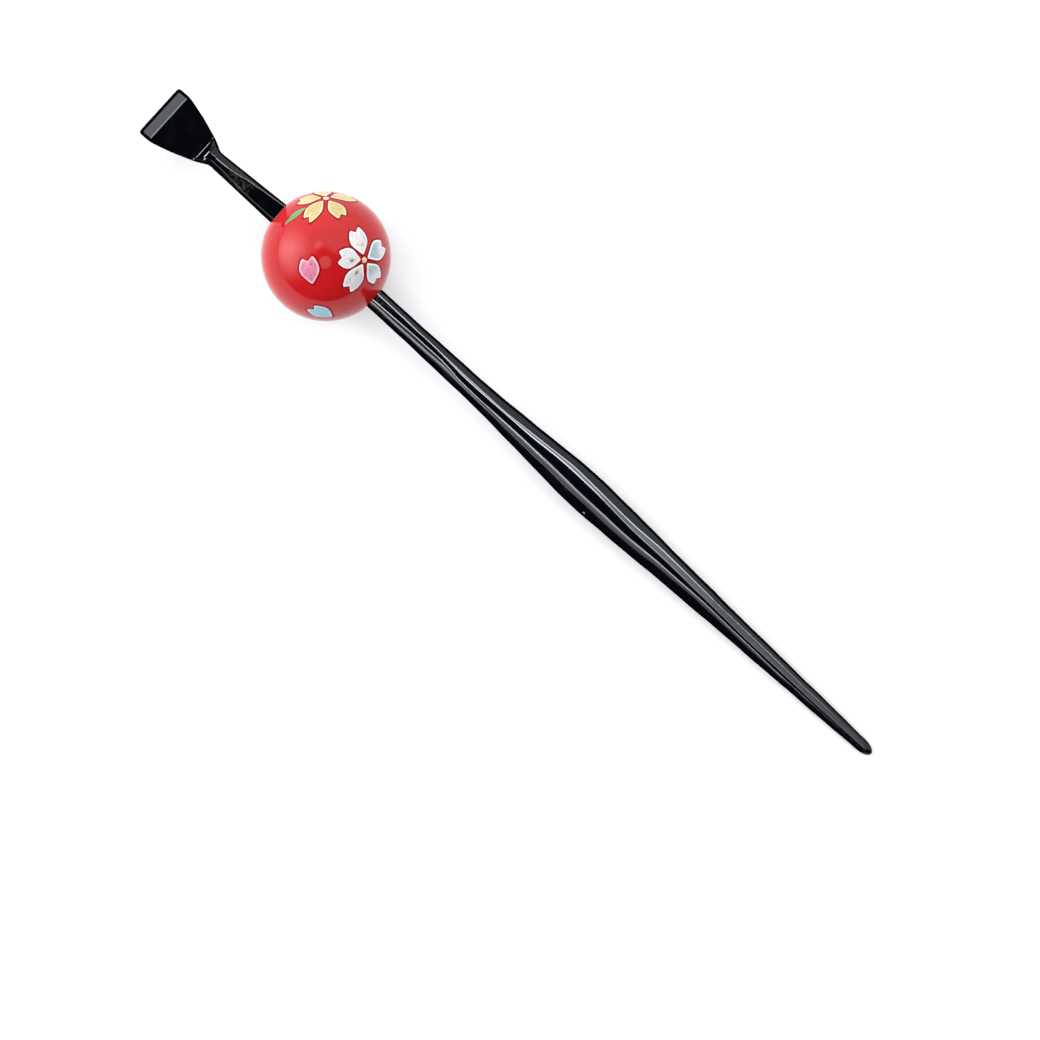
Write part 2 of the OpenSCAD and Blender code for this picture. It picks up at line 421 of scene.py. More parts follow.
def leg_offset(x):
    return Vector((0, LEG_SHIFT, -LEG_DROP)) * (max(TAPER_END_X - x, 0) / (TAPER_END_X - MOUTH_X))


def leg_mesh():
    steps, tip_steps = 260, 14
    # places along the leg between which the rounding of a corner changes
    near_sharpens, far_softens = (0.15, 0.26), (0.7, 0.95)
    top_softens, top_sharpens = (0.12, 0.15), (0.17, 0.21)
    rings = []
    root = placed(outline(leg_section(0)), PLUG_X, leg_offset(PLUG_X))
    for x, radius in (
        (TENON_LEN + END_GAP, SOCKET_R),
        (END_GAP, SOCKET_R),
        (END_GAP, PLUG_R),
        (PLUG_X, PLUG_R),
    ):
        rings.append(circle_like(root, x, radius))
    rings.append(root)
    for i in range(steps + 1):
        place = i / steps
        x = mix(MOUTH_X, TAPER_END_X, place)
        near_r = mix(SOFT_R, FINE_R, step(*near_sharpens, place))
        far_r = mix(RIDGE_R, SOFT_R, step(*far_softens, place))
        softened = step(*top_softens, place) * (1 - step(*top_sharpens, place))
        top_r = mix(TOP_R, SOFT_R, softened)
        points = outline(leg_section(place), far_r, near_r, RIDGE_R, top_r)
        rings.append(placed(points, x, leg_offset(x)))
    for i in range(1, tip_steps):
        angle = math.pi / 2 * i / tip_steps
        x = TAPER_END_X + TIP_LEN * math.sin(angle)
        rings.append(placed(outline(leg_section(1, math.cos(angle)), SOFT_R, FINE_R), x, Vector()))
    bottom = Vector((TENON_LEN + END_GAP, 0, 0))
    return loft("leg_shape", rings, bottom, Vector((TIP_X, 0, 0)))


def head_offset(x):
    return Vector((0, -math.tan(LEAN), -math.tan(DROOP))) * (x - LEAN_START)


def neck_section(place):
    waves = ((9 * MM, 0.3), (8 * MM, 1.1), (7 * MM, 2.4), (9 * MM, 3.3))
    return Section(
        mix(NECK_W, WAIST_W, place) / 2,
        mix(NECK_T, WAIST_T, place) / 2,
        *wandering(NECK, place, place * NECK_LEN, 0.015, waves),
        NECK_SLOPE,
        NECK_SLOPE,
    )


def flare_section(x):
    """A section of the flare or of the bevel at its end, where the corners round off."""
    place = (min(x, BEVEL_X) - WAIST_X) / (BEVEL_X - WAIST_X)
    # the bend into the bevel, and the rounding of its end
    crease, lip = 0.35 * MM, 0.14 * MM
    ease, narrowing = 0.018, 0.08
    half_w = mix(WAIST_W, HEAD_W, eased(FLARE, "width", place, ease)) / 2
    half_t = mix(WAIST_T, HEAD_T, eased(FLARE, "rise", place, ease)) / 2
    into = (x - BEVEL_X) / crease
    flat_t = mix(WAIST_T, HEAD_T, FLARE[-1].rise) / 2
    slope = (flat_t - END_T / 2) / BEVEL_LEN
    if into > -1:
        sunk = crease * ((into + 1) ** 2 / 4 if into < 1 else into)
        half_t = min(half_t, flat_t - slope * sunk)
    past = x - (FLARE_END_X - CORNER_R)
    if past > 0:
        angle = math.asin(clamp(past / CORNER_R))
        half_w -= CORNER_R * (1 - math.cos(angle))
    past = x - (FLARE_END_X - lip)
    if past > 0:
        half_t -= lip * (1 - math.sqrt(1 - clamp(past / lip) ** 2))
    names = ("top_far", "ridge_far", "top_near", "ridge_near", "slope", "slope")
    row = [eased(FLARE, name, place, ease) for name in names]
    into = clamp((x - (FLARE_END_X - EDGE_IN - CORNER_R)) / CORNER_R)
    narrowed = 1 - narrowing * (1 - math.sqrt(1 - into ** 2))
    row[:4] = [share * narrowed for share in row[:4]]
    return Section(half_w, half_t, *row)


def head_mesh():
    """The head is laid out with x growing to its end, then mirrored to the minus side."""
    neck_steps, flare_steps, bevel_steps, corner_steps = 60, 110, 24, 14
    # where the whole sides take the painted-shade lacquer, and where the end does
    ridge_x = mix(WAIST_X, BEVEL_X, 0.27)
    edge_x = FLARE_END_X - 1.4 * EDGE_IN
    far_top_softens = (0.75, 0.97)
    far_top_sharpens = (WAIST_X - 0.1 * MM, WAIST_X + 0.4 * MM)
    end_inset = 0.96
    rings = []
    root = placed(outline(neck_section(0)), PLUG_X, head_offset(PLUG_X))
    for x, radius in ((-TENON_LEN, TENON_R), (0, TENON_R), (0, PLUG_R), (PLUG_X, PLUG_R)):
        rings.append(circle_like(root, x, radius))
    rings.append(root)
    for i in range(neck_steps):
        place = i / neck_steps
        x = mix(MOUTH_X, WAIST_X, place)
        far_top_r = mix(FINE_R, RIDGE_R, step(*far_top_softens, place))
        points = outline(neck_section(place), FINE_R, FINE_R, far_top_r, FINE_R)
        rings.append(placed(points, x, head_offset(x)))
    stops = [mix(WAIST_X, BEVEL_X, i / flare_steps) for i in range(flare_steps)]
    corner_x = FLARE_END_X - CORNER_R
    stops += [mix(BEVEL_X, corner_x, i / bevel_steps) for i in range(bevel_steps)]
    for i in range(corner_steps + 1):
        stops.append(corner_x + CORNER_R * math.sin(math.pi / 2 * i / corner_steps))
    for x in stops:
        far_top_r = mix(RIDGE_R, FINE_R, step(*far_top_sharpens, x))
        points = outline(flare_section(x), FINE_R, FINE_R, far_top_r, FINE_R)
        rings.append(placed(points, x, head_offset(x)))
    sides_from = len(rings) - sum(1 for x in stops if x > ridge_x)
    all_from = len(rings) - sum(1 for x in stops if x > edge_x)
    end = Vector((FLARE_END_X, 0, 0)) + head_offset(FLARE_END_X)
    rings.append([(end + (p - end) * end_inset, 0) for p, _ in rings[-1]])
    rings = [[(Vector((-p.x, p.y, p.z)), edge) for p, edge in ring] for ring in rings]
    start = Vector((TENON_LEN, 0, 0))
    end = Vector((-end.x, end.y, end.z))
    return loft("head_shape", rings, start, end, True, sides_from, all_from)


def ball_mesh():
    """A turned ball: an outline spun round the stick's axis, with its bore, its two flat lands and
    a softened rim between land and ball."""
    turns, arc_steps, rim_steps, bore_steps = 160, 110, 4, 6
    land_angle = math.asin((BORE_R + LAND_W + RIM_R) / BALL_R)
    profile = []
    for i in range(arc_steps + 1):
        angle = mix(land_angle, math.pi - land_angle, i / arc_steps)
        profile.append((BALL_R * math.cos(angle), BALL_R * math.sin(angle)))
    start = Vector(profile[-1])
    corner = Vector((-MOUTH_X, BORE_R + LAND_W))
    end = Vector((-MOUTH_X, BORE_R + LAND_W / 2))
    rim = [bent(start, corner, end, i / rim_steps) for i in range(1, rim_steps + 1)]
    profile += [(p.x, p.y) for p in rim]
    for i in range(bore_steps + 1):
        profile.append((mix(-MOUTH_X, MOUTH_X, i / bore_steps), BORE_R))
    profile += [(-p.x, p.y) for p in reversed(rim)]
    count = len(profile)
    points = []
    for k in range(turns):
        angle = 2 * math.pi * k / turns
        for x, r in profile:
            points.append(LAID @ Vector((x, r * math.sin(angle), r * math.cos(angle))))
    faces = []
    for k in range(turns):
        for i in range(count):
            j = (i + 1) % count
            a, b = k * count, (k + 1) % turns * count
            faces.append((a + i, b + i, b + j, a + j))
    mesh = new_mesh("ball_shape", points, faces)
    return mesh


# Paint on the ball

# The outline of a petal. along: share of its length. across: share of its half width.
Point = namedtuple("Point", "along across")
PETAL = [
    Point(0.00, 0.05),
    Point(0.06, 0.20),
    Point(0.18, 0.46),
    Point(0.32, 0.76),
    Point(0.46, 0.95),
    Point(0.60, 1.00),
    Point(0.74, 0.93),
    Point(0.86, 0.80),
    Point(0.95, 0.68),
    Point(1.00, 0.50),
    Point(0.96, 0.34),
    Point(0.92, 0.20),
    Point(0.86, 0.03),
]
# The outline of a leaf, which ends in a point
LEAF = [
    Point(0.00, 0.05),
    Point(0.10, 0.24),
    Point(0.25, 0.58),
    Point(0.42, 0.90),
    Point(0.58, 1.00),
    Point(0.74, 0.84),
    Point(0.88, 0.48),
    Point(1.00, 0.04),
]

# Motifs on the ball. right and up: where the middle lies in the picture, as shares of the ball's
# radius.
Motif = namedtuple("Motif", "name right up")
WHITE_BLOSSOM = Motif("white_blossom", 0.618, -0.108)
GOLD_BLOSSOM = Motif("gold_blossom", 0.027, 0.847)
LOOSE_PINK = Motif("loose_pink_petal", -0.208, -0.276)
LOOSE_BLUE = Motif("loose_blue_petal", -0.089, -0.877)
GREEN_LEAF = Motif("green_leaf", -0.446, 0.575)

# Petals. turn: degrees from the picture's right, counterclockwise. start: how far the base lies
# from the middle. length and half_w: the petal's size. skew: how much further one lobe reaches
# than the other. base and flank: how blue or deep the base and one side are, and the other side
# where flank is negative.
Petal = namedtuple("Petal", "turn start length half_w skew base flank")
WHITE_PETALS = [
    Petal(102, 1.00 * MM, 4.45 * MM, 1.75 * MM, -0.05, 0.15, -0.70),
    Petal(25, 0.80 * MM, 4.90 * MM, 1.72 * MM, -0.10, 1.20, 0.75),
    Petal(-46, 0.90 * MM, 4.40 * MM, 1.60 * MM, 0.07, 1.00, 0.35),
    Petal(-118, 0.80 * MM, 4.90 * MM, 1.72 * MM, 0.03, 0.20, 0.60),
    Petal(172.5, 0.80 * MM, 3.90 * MM, 1.74 * MM, 0, 0, 0),
]
# The drop of gold on each petal. out: how far from the blossom's middle. stretch: how much longer
# it is along the petal. dark: 1 where the powder has worn to olive.
Dot = namedtuple("Dot", "turn out radius stretch dark")
WHITE_DOTS = [
    Dot(96, 2.75 * MM, 0.26 * MM, 1.9, 0),
    Dot(18, 2.55 * MM, 0.32 * MM, 1.2, 0),
    Dot(-46, 2.20 * MM, 0.34 * MM, 1.5, 0),
    Dot(-125, 2.50 * MM, 0.28 * MM, 1.6, 1),
    Dot(179, 2.40 * MM, 0.27 * MM, 1.4, 1),
]
GOLD_PETALS = [
    Petal(-122, 1.00 * MM, 5.00 * MM, 1.45 * MM, 0.09, 0.20, 0.20),
    Petal(-55, 0.95 * MM, 4.25 * MM, 1.48 * MM, -0.04, 0.20, 0),
    Petal(31, 0.90 * MM, 4.60 * MM, 1.60 * MM, 0, 0.30, 0),
    Petal(102, 0.80 * MM, 4.50 * MM, 1.50 * MM, 0, 0.30, 0),
    Petal(173, 0.90 * MM, 4.00 * MM, 1.50 * MM, 0, 0.30, 0),
]
PINK_PETAL = Petal(101, -2.35 * MM, 4.50 * MM, 1.72 * MM, -0.04, 0.30, 0.20)
BLUE_PETAL = Petal(141, -2.80 * MM, 4.40 * MM, 1.78 * MM, 0.03, 0.50, 0.10)
LEAF_BLADE = Petal(30.5, -2.26 * MM, 4.55 * MM, 0.64 * MM, 0, 0.40, 0.20)

PAINT_H = 0.045 * MM
RIM_H = 0.03 * MM
PAINT_SUNK = 0.03 * MM
DOT_H = 0.09 * MM
MIDDLE_R = 0.5 * MM

# The layers of a patch of paint, outwards from its core. reach: share of the way from the core to
# the petal's outline. height: over the ball. The painted shadow round the petal starts at the layer whose
# index is given below.
Layer = namedtuple("Layer", "reach height")
PAINT_LAYERS = [
    Layer(0.25, PAINT_H),
    Layer(0.50, PAINT_H),
    Layer(0.72, PAINT_H),
    Layer(0.84, PAINT_H + 0.6 * RIM_H),
    Layer(0.93, PAINT_H + RIM_H),
    Layer(0.985, PAINT_H + 0.3 * RIM_H),
    Layer(1.01, 0.6 * PAINT_H),
    Layer(1.03, 0.4 * PAINT_H),
    Layer(1.17, 0.3 * PAINT_H),
    Layer(1.18, -PAINT_SUNK),
]
SHADOW_RING_FROM = 6
CORE_PLACE = 0.55


def surface_frame(motif):
    """The middle of a motif on the ball as a unit vector, with the picture's right and up turned
    into the ball's surface there."""
    depth = math.sqrt(1 - motif.right ** 2 - motif.up ** 2)
    middle = RIGHT * motif.right + UP * motif.up + OVERHEAD * depth
    east = (RIGHT - middle * RIGHT.dot(middle)).normalized()
    return middle, east, middle.cross(east)


def on_ball(axes, turn, along, across, height):
    """The point reached from the motif's middle over the ball's surface, along the direction at
    turn degrees and across it, raised by height."""
    middle, east, north = axes
    cos_turn, sin_turn = math.cos(math.radians(turn)), math.sin(math.radians(turn))
    east_by = along * cos_turn - across * sin_turn
    north_by = along * sin_turn + across * cos_turn
    distance = math.hypot(east_by, north_by)
    if distance < 1e-9:
        direction = middle
    else:
        heading = (east * east_by + north * north_by) / distance
        angle = distance / BALL_R
        direction = middle * math.cos(angle) + heading * math.sin(angle)
    return Vector((0, 0, BALL_R)) + direction * (BALL_R + height)


def curve_through(points, steps):
    """A smooth curve through control points, from the first to the last."""
    result = []
    last = len(points) - 1
    for i in range(last):
        p0, p1 = points[max(i - 1, 0)], points[i]
        p2, p3 = points[i + 1], points[min(i + 2, last)]
        for k in range(steps):
            t = k / steps
            a = -0.5 * t ** 3 + t ** 2 - 0.5 * t
            b = 1.5 * t ** 3 - 2.5 * t ** 2 + 1
            c = -1.5 * t ** 3 + 2 * t ** 2 + 0.5 * t
            d = 0.5 * t ** 3 - 0.5 * t ** 2
            result.append(p0 * a + p1 * b + p2 * c + p3 * d)
    result.append(points[last])
    return result


def petal_outline(shape, petal):
    """The outline of one petal as (along, across) lengths, all the way round."""
    half = curve_through([Vector(p) for p in shape], 3)
    sides = [(p.x, p.y) for p in half] + [(p.x, -p.y) for p in reversed(half[1:-1])]
    result = []
    for along, across in sides:
        lobed = step(0.5, 1.0, along) * petal.skew * across
        result.append((petal.start + (along + lobed) * petal.length, across * petal.half_w))
    return result


def domed_faces(count, rings):
    """Faces over a middle point, rings round it and a point underneath, and for each face the
    number of the ring inside it."""
    bottom = 1 + (rings - 1) * count
    faces, inner = [], []
    for i in range(count):
        j = (i + 1) % count
        faces.append((0, 1 + i, 1 + j))
        for k in range(rings - 1):
            a, b = 1 + k * count, 1 + (k + 1) * count
            faces.append((a + i, b + i, b + j, a + j))
        faces.append((bottom + count, bottom + j, bottom + i))
        inner += range(rings + 1)
    return faces, inner


def painted_patch(name, motif, shape, petal, material, shadow_ring):
    """A thin raised patch of paint on the ball, with a slightly higher rim and a painted shadow round it,
    closed underneath."""
    axes = surface_frame(motif)
    rim = petal_outline(shape, petal)
    core = petal.start + petal.length * CORE_PLACE
    points, rims, alongs, acrosses = [], [], [], []

    def add(along, across, height, reach):
        points.append(on_ball(axes, petal.turn, along, across, height))
        rims.append(reach)
        alongs.append((along - petal.start) / petal.length)
        acrosses.append(across / petal.half_w)

    add(core, 0, PAINT_H, 0)
    for reach, height in PAINT_LAYERS:
        for along, across in rim:
            add(mix(core, along, reach), across * reach, height, reach)
    add(core, 0, -PAINT_SUNK, 1)
    faces, inner = domed_faces(len(rim), len(PAINT_LAYERS))
    mesh = new_mesh(name + "_shape", points, faces)
    # the layers from the given index on take the painted shadow round the petal
    mesh.polygons.foreach_set("material_index", [int(k > SHADOW_RING_FROM) for k in inner])
    add_values(mesh, "rim", rims)
    add_values(mesh, "along", alongs)
    add_values(mesh, "across", acrosses)
    tints = []
    for along, across in zip(alongs, acrosses):
        at_base = petal.base * (1 - step(0.0, 0.95, along))
        at_flank = abs(petal.flank) * step(0.1, 1.0, across * math.copysign(1, petal.flank))
        tints.append(clamp(at_base + at_flank * (1 - 0.6 * along)))
    add_values(mesh, "tint", tints)
    add_piece(name, mesh, "blossom_paint", material, shadow_ring)


def painted_dot(name, motif, turn, distance, radius, material, stretch, lobes=3, lobe_size=0.12):
    """A small domed drop of gold on a petal, or in the middle of a blossom."""
    axes = surface_frame(motif)
    sides, rings = 20, 5
    # the heights of its foot and of its sunk rim, as shares of the paint's
    foot, rim = 0.9, -0.5
    points = [on_ball(axes, turn, distance, 0, PAINT_H + DOT_H)]
    for k in range(1, rings + 1):
        angle = math.pi / 2 * k / rings
        reach = radius * math.sin(angle)
        height = DOT_H * math.cos(angle) + PAINT_H * (foot if k < rings else rim)
        for i in range(sides):
            around = 2 * math.pi * i / sides
            uneven = 1 + lobe_size * math.sin(lobes * around + distance / MM)
            out = stretch * reach * uneven * math.cos(around)
            side = reach * uneven * math.sin(around)
            points.append(on_ball(axes, turn, distance + out, side, height))
    points.append(on_ball(axes, turn, distance, 0, -PAINT_SUNK))
    mesh = new_mesh(name + "_shape", points, domed_faces(sides, rings)[0])
    add_piece(name, mesh, "blossom_paint", material)


# Materials

class Graph:
    """Builds a node tree step by step."""

    def __init__(self, tree):
        self.nodes = tree.nodes
        self.links = tree.links

    def node(self, kind, inputs=(), **settings):
        made = self.nodes.new(kind)
        for key, value in settings.items():
            setattr(made, key, value)
        for key, value in dict(inputs).items():
            self.put(value, made.inputs[key])
        return made

    def put(self, value, socket):
        """Links a socket, or gives it a value, which for a colour is (red, green, blue)."""
        if isinstance(value, bpy.types.NodeSocket):
            self.links.new(value, socket)
        else:
            socket.default_value = (*value, 1) if socket.type == "RGBA" else value

    def ranged(self, value, low, high, to_low=0.0, to_high=1.0):
        made = self.node("ShaderNodeMapRange", {
            "Value": value,
            "From Min": low,
            "From Max": high,
            "To Min": to_low,
            "To Max": to_high,
        }, interpolation_type="SMOOTHSTEP")
        return made.outputs["Result"]

    def math(self, operation, a, b=0.0):
        made = self.node("ShaderNodeMath", {0: a, 1: b}, operation=operation)
        return made.outputs["Value"]


class Shade(Graph):
    """A material on the principled shader."""

    def __init__(self, name):
        self.material = bpy.data.materials.new(name)
        self.material.use_nodes = True
        super().__init__(self.material.node_tree)
        self.shader = self.nodes["Principled BSDF"]
        self.place = self.node("ShaderNodeTexCoord").outputs["Object"]

    def set(self, **values):
        """Sets the shader's sockets by name, with underscores for spaces."""
        for key, value in values.items():
            self.put(value, self.shader.inputs[key.replace("_", " ")])

    def value(self, name):
        """A value kept at the points of the mesh."""
        return self.node("ShaderNodeAttribute", attribute_name=name).outputs["Fac"]

    def noise(self, scale, detail, vector=None):
        inputs = {"Vector": vector or self.place, "Scale": scale, "Detail": detail}
        return self.node("ShaderNodeTexNoise", inputs).outputs["Fac"]

    def stretched(self, scale_x, scale_y, scale_z):
        inputs = {"Vector": self.place, "Scale": (scale_x, scale_y, scale_z)}
        return self.node("ShaderNodeMapping", inputs).outputs["Vector"]

    def blend(self, share, a, b):
        made = self.node("ShaderNodeMix", data_type="RGBA")
        self.put(share, made.inputs["Factor"])
        colours = [s for s in made.inputs if s.type == "RGBA"]
        self.put(a, colours[0])
        self.put(b, colours[1])
        return [s for s in made.outputs if s.type == "RGBA"][0]

    def spot(self, at, size):
        """1 within a small rounded spot of the given half sizes, 0 outside it."""
        scale = [1 / length for length in size]
        offset = [-place * share for place, share in zip(at, scale)]
        inputs = {"Vector": self.place, "Location": offset, "Scale": scale}
        moved = self.node("ShaderNodeMapping", inputs)
        far = self.node("ShaderNodeVectorMath", {0: moved.outputs["Vector"]}, operation="LENGTH")
        return self.ranged(far.outputs["Value"], 0.75, 1.1, 1, 0)

    def bump(self, height, strength, distance, normal=None):
        inputs = {"Height": height, "Strength": strength, "Distance": distance}
        made = self.node("ShaderNodeBump", inputs)
        if normal:
            self.put(normal, made.inputs["Normal"])
        return made.outputs["Normal"]


def black_lacquer():
    shade = Shade("black_lacquer")
    depth = shade.noise(220, 3)
    base = shade.blend(depth, (0.0006, 0.0006, 0.0016), (0.0012, 0.0012, 0.0028))
    # Painted highlight, partly rubbed lacquer: the rounded corners turn a little paler, broken up by
    # noise
    rub_and_sheen = shade.ranged(shade.noise(900, 3), 0.42, 0.66)
    rubbed_and_sheen = shade.math("MULTIPLY", shade.value("edge"), rub_and_sheen)
    base = shade.blend(shade.math("MULTIPLY", rubbed_and_sheen, 0.4), base, (0.030, 0.029, 0.030))
    blotches = shade.ranged(shade.noise(1900, 4), 0.42, 0.66)
    amber = shade.math("MULTIPLY", shade.value("amber"), blotches)
    base = shade.blend(amber, base, (0.040, 0.034, 0.024))
    specks = shade.ranged(shade.noise(5200, 1), 0.78, 0.84)
    base = shade.blend(shade.math("MULTIPLY", specks, 0.35), base, (0.06, 0.06, 0.07))
    wood = shade.blend(shade.noise(4000, 2), (0.75, 0.30, 0.24), (0.95, 0.75, 0.70))
    base = shade.blend(shade.spot(CHIP_AT, CHIP_SIZE), base, wood)
    peel = shade.bump(shade.noise(850, 2), 0.10, 0.06 * MM)
    along = shade.noise(1, 2, vector=shade.stretched(60, 700, 700))
    shade.set(
        Base_Color=base,
        Roughness=shade.ranged(shade.noise(500, 3), 0.3, 0.7, 0.05, 0.11),
        Normal=shade.bump(along, 0.06, 0.05 * MM, peel),
        IOR=1.5,
        Specular_IOR_Level=0.27,
        Specular_Tint=(0.86, 0.91, 1.0),
    )
    return shade.material


def shade_outline_lacquer():
    """Painted shade: lacquer without reflection on the upright edges and round the head's end, so that
    they read as dark outlines.
    """
    shade = Shade("shade_outline_lacquer")
    depth = shade.noise(400, 3)
    base = shade.blend(depth, (0.0008, 0.0008, 0.0010), (0.0024, 0.0024, 0.0030))
    shade.set(
        Base_Color=base,
        Roughness=shade.ranged(depth, 0.3, 0.7, 0.45, 0.6),
        Normal=shade.bump(shade.noise(900, 2), 0.1, 0.05 * MM),
        Specular_IOR_Level=0.0,
    )
    return shade.material


def red_lacquer():
    shade = Shade("red_lacquer")
    cloud = shade.noise(160, 3)
    base = shade.blend(cloud, (0.465, 0.0088, 0.0115), (0.52, 0.0110, 0.0140))
    fleck = shade.ranged(shade.noise(3800, 2), 0.68, 0.76)
    base = shade.blend(shade.math("MULTIPLY", fleck, 0.15), base, (0.28, 0.004, 0.006))
    shade.set(
        Base_Color=base,
        Roughness=shade.ranged(shade.noise(420, 3), 0.3, 0.7, 0.22, 0.32),
        Normal=shade.bump(shade.noise(600, 2), 0.05, 0.05 * MM),
        Specular_IOR_Level=0.0,
        Coat_Weight=1.0,
        Coat_IOR=1.37,
        Coat_Roughness=0.06,
    )
    return shade.material


# Petal paints. ground runs into tinted, with a paler rim and worn specks.
Tones = namedtuple("Tones", "name ground tinted rim worn")
PETAL_TONES = [
    Tones("white_petals", (0.80, 0.77, 0.78), (0.14, 0.45, 0.66), (0.90, 0.89, 0.89), (0.50, 0.53, 0.51)),
    Tones("gold_petals", (0.61, 0.48, 0.19), (0.55, 0.41, 0.13), (0.74, 0.66, 0.38), (0.40, 0.32, 0.11)),
    Tones("pink_petal", (0.68, 0.22, 0.36), (0.60, 0.12, 0.22), (0.82, 0.46, 0.56), (0.42, 0.09, 0.15)),
    Tones("blue_petal", (0.22, 0.52, 0.70), (0.14, 0.44, 0.64), (0.40, 0.70, 0.80), (0.28, 0.46, 0.42)),
    Tones("green_leaf", (0.13, 0.33, 0.11), (0.07, 0.23, 0.07), (0.20, 0.42, 0.19), (0.06, 0.17, 0.06)),
]


def petal_paint(tones):
    """Pearly petal paint with brush streaks along the petal and fine grains."""
    shade = Shade(tones.name)
    along, across = shade.value("along"), shade.value("across")
    spread = shade.node("ShaderNodeCombineXYZ", {
        "X": shade.math("MULTIPLY", along, 2.5),
        "Y": shade.math("MULTIPLY", across, 9),
    }).outputs["Vector"]
    streak = shade.ranged(shade.noise(1.2, 3, vector=spread), 0.35, 0.7)
    grain = shade.noise(5200, 2)
    tint = shade.math("ADD", shade.value("tint"), shade.math("MULTIPLY", streak, 0.35))
    base = shade.blend(shade.ranged(tint, 0.1, 1.0), tones.ground, tones.tinted)
    base = shade.blend(shade.ranged(grain, 0.35, 0.8, 0.0, 0.25), base, tones.rim)
    mottle = shade.ranged(shade.noise(2600, 3), 0.45, 0.68, 0.0, 0.75)
    base = shade.blend(mottle, base, tones.worn)
    base = shade.blend(shade.ranged(shade.value("rim"), 0.76, 0.90), base, tones.rim)
    shade.set(
        Base_Color=base,
        Roughness=shade.ranged(grain, 0.3, 0.7, 0.30, 0.45),
        Normal=shade.bump(grain, 0.25, 0.03 * MM, shade.bump(streak, 0.3, 0.04 * MM)),
        Coat_Weight=0.6,
        Coat_Roughness=0.06,
    )
    return shade.material


def petal_shadow_ring():
    """Painted shadow: a dark red ring round each petal, where the paint meets the ball."""
    shade = Shade("petal_shadow_ring")
    worn = shade.noise(2200, 3)
    shade.set(
        Base_Color=shade.blend(worn, (0.20, 0.0015, 0.003), (0.34, 0.004, 0.006)),
        Roughness=shade.ranged(worn, 0.3, 0.7, 0.35, 0.5),
        Normal=shade.bump(worn, 0.2, 0.02 * MM),
        Specular_IOR_Level=0.05,
    )
    return shade.material


def gold_paint(name, dark, light):
    """Powdered metal or pigment in a small raised drop."""
    shade = Shade(name)
    grain = shade.noise(6000, 2)
    base = shade.blend(grain, dark, light)
    shade.set(
        Base_Color=base,
        Metallic=0.35,
        Roughness=shade.ranged(grain, 0.3, 0.7, 0.28, 0.45),
        Normal=shade.bump(grain, 0.4, 0.03 * MM),
    )
    return shade.material


def floor_paint():
    shade = Shade("pale_table")
    paper = shade.noise(90, 3)
    shade.set(
        Base_Color=shade.blend(paper, (0.885, 0.88, 0.90), (0.905, 0.90, 0.92)),
        Roughness=shade.ranged(paper, 0.3, 0.7, 0.75, 0.85),
        Specular_IOR_Level=0.1,
        Normal=shade.bump(shade.noise(2500, 2), 0.05, 0.02 * MM),
    )
    return shade.material


# Pieces

def add_amber(mesh):
    """Brownish patches: on the leg right by the ball, and on the neck, where the lacquer is thin and
    brown wood shows.
    """
    back = LAID.inverted()
    leg_fades = (MOUTH_X + 1 * MM, MOUTH_X + 5 * MM)
    neck_starts, neck_ends = (16.2 * MM, 18.0 * MM), (20.5 * MM, 22.5 * MM)
    values = []
    for v in mesh.vertices:
        x = (back @ v.co).x
        beside = step(0, MOUTH_X, x) * (1 - step(*leg_fades, x))
        across = step(*neck_starts, -x) * (1 - step(*neck_ends, -x))
        values.append(max(0.9 * beside, 0.8 * across))
    add_values(mesh, "amber", values)


def build_stick():
    # the second material paints shade: dark outlines on the upright edges and round the head's end
    lacquer, outline_shade = black_lacquer(), shade_outline_lacquer()
    pieces = []
    for name, mesh in (("leg", leg_mesh()), ("head", head_mesh())):
        add_amber(mesh)
        piece = add_piece("lacquered_" + name, mesh, "black_lacquer", lacquer, outline_shade)
        flatten_facets(piece)
        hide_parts(name)
        pieces.append(piece)
    return pieces


def build_ball():
    piece = add_piece("lacquered_ball", ball_mesh(), "red_lacquer", red_lacquer())
    # the ball throws no red light on the table
    piece.visible_diffuse = False
    flatten_facets(piece)
    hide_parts("ball")
    return piece


def build_blossoms():
    white, gold, pink, blue, green = (petal_paint(tones) for tones in PETAL_TONES)
    cream = gold_paint("cream_gold", (0.80, 0.62, 0.34), (0.90, 0.80, 0.55))
    blush = gold_paint("blush_white", (0.85, 0.55, 0.50), (0.92, 0.75, 0.68))
    dots = gold_paint("gold_powder", (0.62, 0.42, 0.13), (0.88, 0.70, 0.32))
    olive = gold_paint("olive_powder", (0.22, 0.15, 0.05), (0.58, 0.45, 0.18))
    # the dark red ring round each petal is painted shadow
    shadow_ring = petal_shadow_ring()
    for motif, petals, paint in (
        (WHITE_BLOSSOM, WHITE_PETALS, white),
        (GOLD_BLOSSOM, GOLD_PETALS, gold),
    ):
        for i, petal in enumerate(petals, 1):
            painted_patch("%s_petal_%d" % (motif.name, i), motif, PETAL, petal, paint, shadow_ring)
    for motif, shape, petal, paint in (
        (LOOSE_PINK, PETAL, PINK_PETAL, pink),
        (LOOSE_BLUE, PETAL, BLUE_PETAL, blue),
        (GREEN_LEAF, LEAF, LEAF_BLADE, green),
    ):
        painted_patch(motif.name, motif, shape, petal, paint, shadow_ring)
    for motif, paint in ((WHITE_BLOSSOM, cream), (GOLD_BLOSSOM, blush)):
        painted_dot(motif.name + "_middle", motif, 0, 0, MIDDLE_R, paint, 1, 5, 0.16)
    for i, dot in enumerate(WHITE_DOTS, 1):
        name, paint = "white_blossom_dot_%d" % i, olive if dot.dark else dots
        painted_dot(name, WHITE_BLOSSOM, dot.turn, dot.out, dot.radius, paint, dot.stretch)


# Table, lights and camera. Each radiance is how bright a light looks in a mirror.

